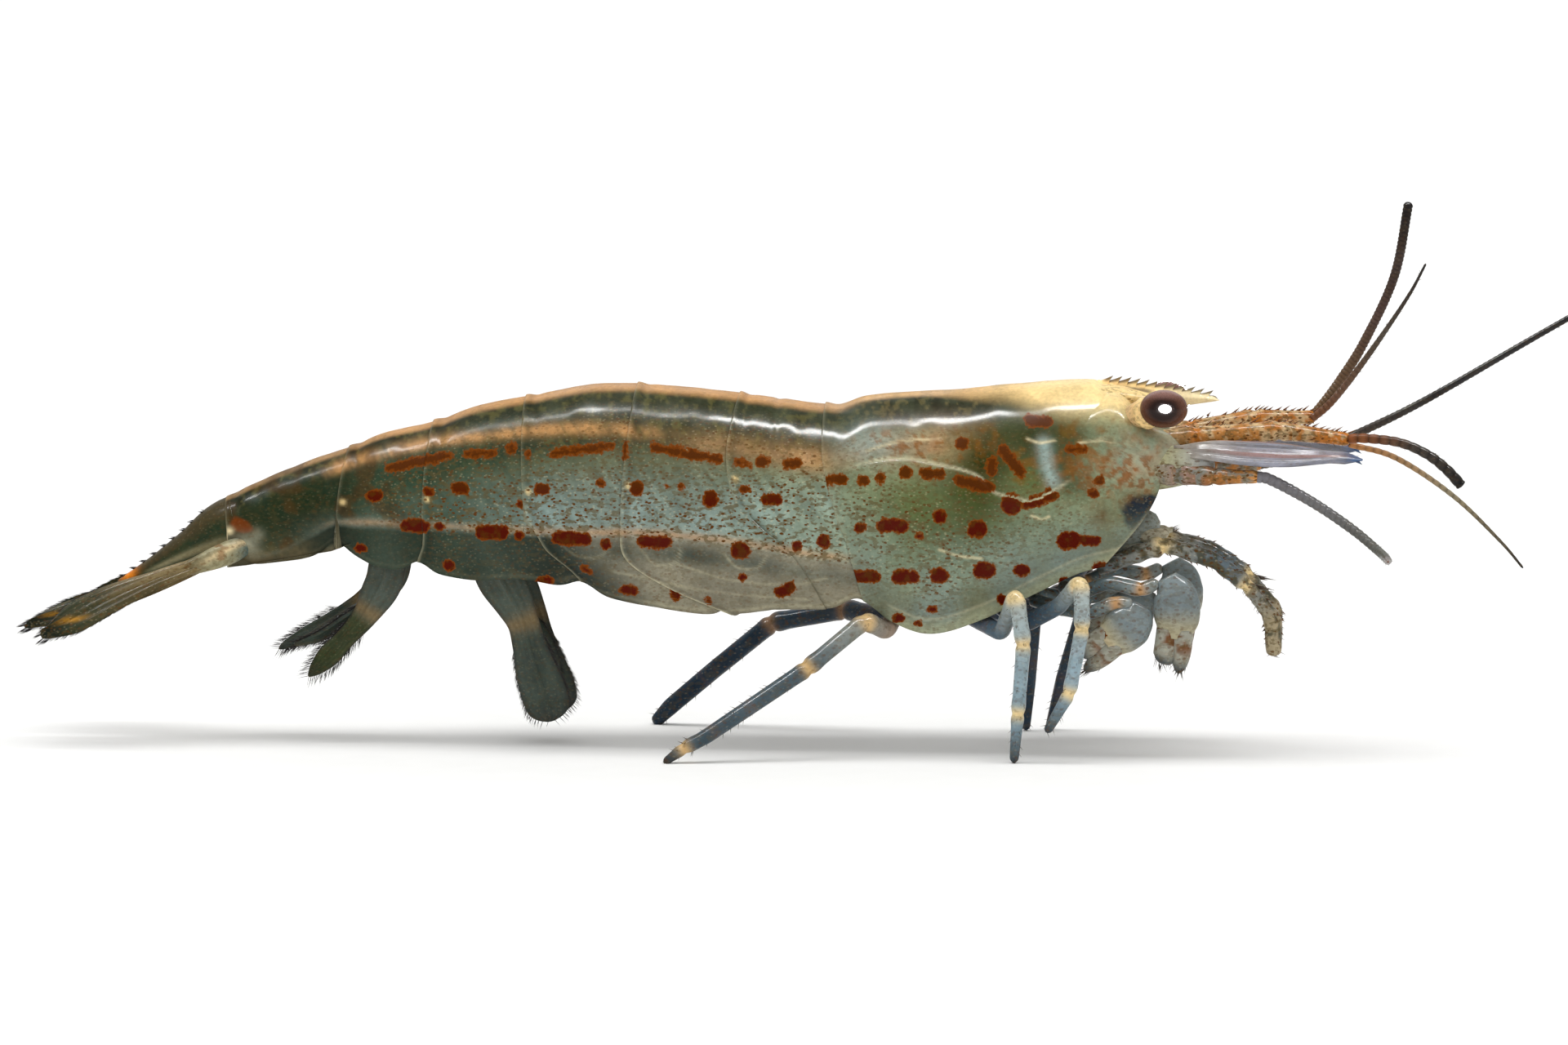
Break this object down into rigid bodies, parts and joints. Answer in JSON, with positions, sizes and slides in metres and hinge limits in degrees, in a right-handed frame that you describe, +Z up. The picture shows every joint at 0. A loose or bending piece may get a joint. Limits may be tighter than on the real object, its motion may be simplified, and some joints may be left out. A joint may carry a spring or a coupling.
{
  "type": "freshwater shrimp",
  "caption": "Life-size still model of a female freshwater shrimp standing on its walking legs, with tail fan, swimmerets, small claws and long feelers.",
  "frame": {"origin": "middle of the overall box, on the floor that the feet stand on", "axes": "+X towards the head, +Y towards the animal's left side, +Z up"},
  "size_m": [0.0788, 0.0376, 0.0241],
  "materials": {
    "carapace_shell": "glossy, translucent sage green with red-brown spots",
    "abdomen_shell": "glossy, translucent grey-green with a tan back stripe and red-brown dashes",
    "tail_shell": "glossy, dark olive with tan rims",
    "rostrum_gold": "glossy, golden",
    "eye_cornea": "very glossy, dark brown",
    "eyestalk_cream": "satin, cream",
    "feeler_brown": "satin, dark brown",
    "peduncle_amber": "satin, speckled amber",
    "scale_lilac": "glossy, translucent lilac grey",
    "limb_slate": "glossy, translucent slate blue with amber joints",
    "swimmeret_grey": "satin, dark grey green",
    "underside_cream": "satin, cream grey"
  },
  "bodies": {
    "root": {"abdomen_1": "abdomen_shell", "abdomen_2": "abdomen_shell", "abdomen_3": "abdomen_shell", "abdomen_4": "abdomen_shell", "abdomen_5": "abdomen_shell", "abdomen_6": "abdomen_shell", "antenna_base_L": "peduncle_amber", "antenna_base_R": "peduncle_amber", "antenna_scale_L": "scale_lilac", "antenna_scale_R": "scale_lilac", "antenna_tip_L": "feeler_brown", "antenna_tip_R": "feeler_brown", "antenna_whip_L": "feeler_brown", "antenna_whip_R": "feeler_brown", "antennule_base_L": "peduncle_amber", "antennule_base_R": "peduncle_amber", "antennule_inner_L": "feeler_brown", "antennule_inner_R": "feeler_brown", "antennule_outer_L": "feeler_brown", "antennule_outer_R": "feeler_brown", "carapace": "carapace_shell", "claw_1_L": "limb_slate", "claw_1_R": "limb_slate", "claw_2_L": "limb_slate", "claw_2_R": "limb_slate", "claw_leg_1_L": "limb_slate", "claw_leg_1_R": "limb_slate", "claw_leg_2_L": "limb_slate", "claw_leg_2_R": "limb_slate", "eye_L": "eye_cornea", "eye_R": "eye_cornea", "eyestalk_L": "eyestalk_cream", "eyestalk_R": "eyestalk_cream", "maxilliped_L": "limb_slate", "maxilliped_R": "limb_slate", "mouthparts": "underside_cream", "rostrum": "rostrum_gold", "swimmeret_1_L": "swimmeret_grey", "swimmeret_1_R": "swimmeret_grey", "swimmeret_2_L": "swimmeret_grey", "swimmeret_2_R": "swimmeret_grey", "swimmeret_3_L": "swimmeret_grey", "swimmeret_3_R": "swimmeret_grey", "swimmeret_4_L": "swimmeret_grey", "swimmeret_4_R": "swimmeret_grey", "swimmeret_5_L": "swimmeret_grey", "swimmeret_5_R": "swimmeret_grey", "telson": "tail_shell", "thorax_underside": "underside_cream", "uropod_inner_L": "tail_shell", "uropod_inner_R": "tail_shell", "uropod_outer_L": "tail_shell", "uropod_outer_R": "tail_shell", "walking_leg_3_L": "limb_slate", "walking_leg_3_R": "limb_slate", "walking_leg_4_L": "limb_slate", "walking_leg_4_R": "limb_slate", "walking_leg_5_L": "limb_slate", "walking_leg_5_R": "limb_slate"}
  },
  "joints": []
}
